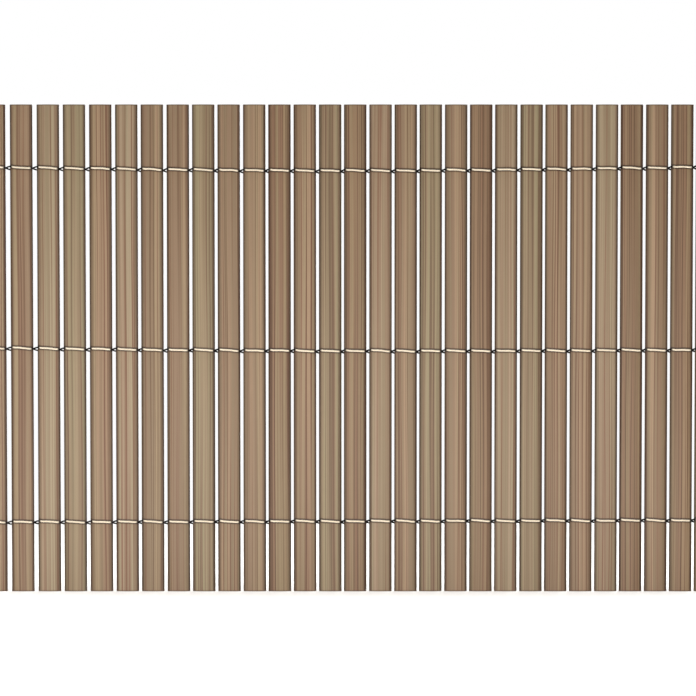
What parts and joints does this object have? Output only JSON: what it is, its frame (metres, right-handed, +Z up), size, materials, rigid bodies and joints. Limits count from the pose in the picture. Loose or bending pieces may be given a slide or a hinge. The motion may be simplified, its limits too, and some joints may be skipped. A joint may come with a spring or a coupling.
{
  "type": "slatted privacy screen",
  "caption": "Length of plastic privacy screen: hollow oval slats side by side, bound with narrow gaps by rows of twined cord, to tie on a railing or fence.",
  "frame": {"origin": "middle of the screen's width and depth, level with the slats' lower ends", "axes": "+X across the screen, +Y to its back, where the railing is, +Z up along the slats"},
  "size_m": [0.4395, 0.0078, 0.287],
  "materials": {
    "slat_tan": "satin",
    "slat_olive": "satin",
    "slat_brown": "satin",
    "slat_rose": "satin",
    "slat_pale": "satin",
    "cord": "satin"
  },
  "bodies": {
    "root": {"slat_01": "slat_rose", "slat_02": "slat_tan", "slat_03": "slat_pale", "slat_04": "slat_olive", "slat_05": "slat_rose", "slat_06": "slat_pale", "slat_07": "slat_tan", "slat_08": "slat_tan", "slat_09": "slat_olive", "slat_10": "slat_tan", "slat_11": "slat_tan", "slat_12": "slat_brown", "slat_13": "slat_rose", "slat_14": "slat_olive", "slat_15": "slat_brown", "slat_16": "slat_pale", "slat_17": "slat_tan", "slat_18": "slat_olive", "slat_19": "slat_tan", "slat_20": "slat_brown", "slat_21": "slat_pale", "slat_22": "slat_olive", "slat_23": "slat_rose", "slat_24": "slat_tan", "slat_25": "slat_pale", "slat_26": "slat_brown", "slat_27": "slat_rose", "slat_28": "slat_brown", "slat_29": "slat_tan", "bottom_cord_1": "cord", "bottom_cord_2": "cord", "middle_cord_1": "cord", "middle_cord_2": "cord", "top_cord_1": "cord", "top_cord_2": "cord"}
  },
  "joints": []
}
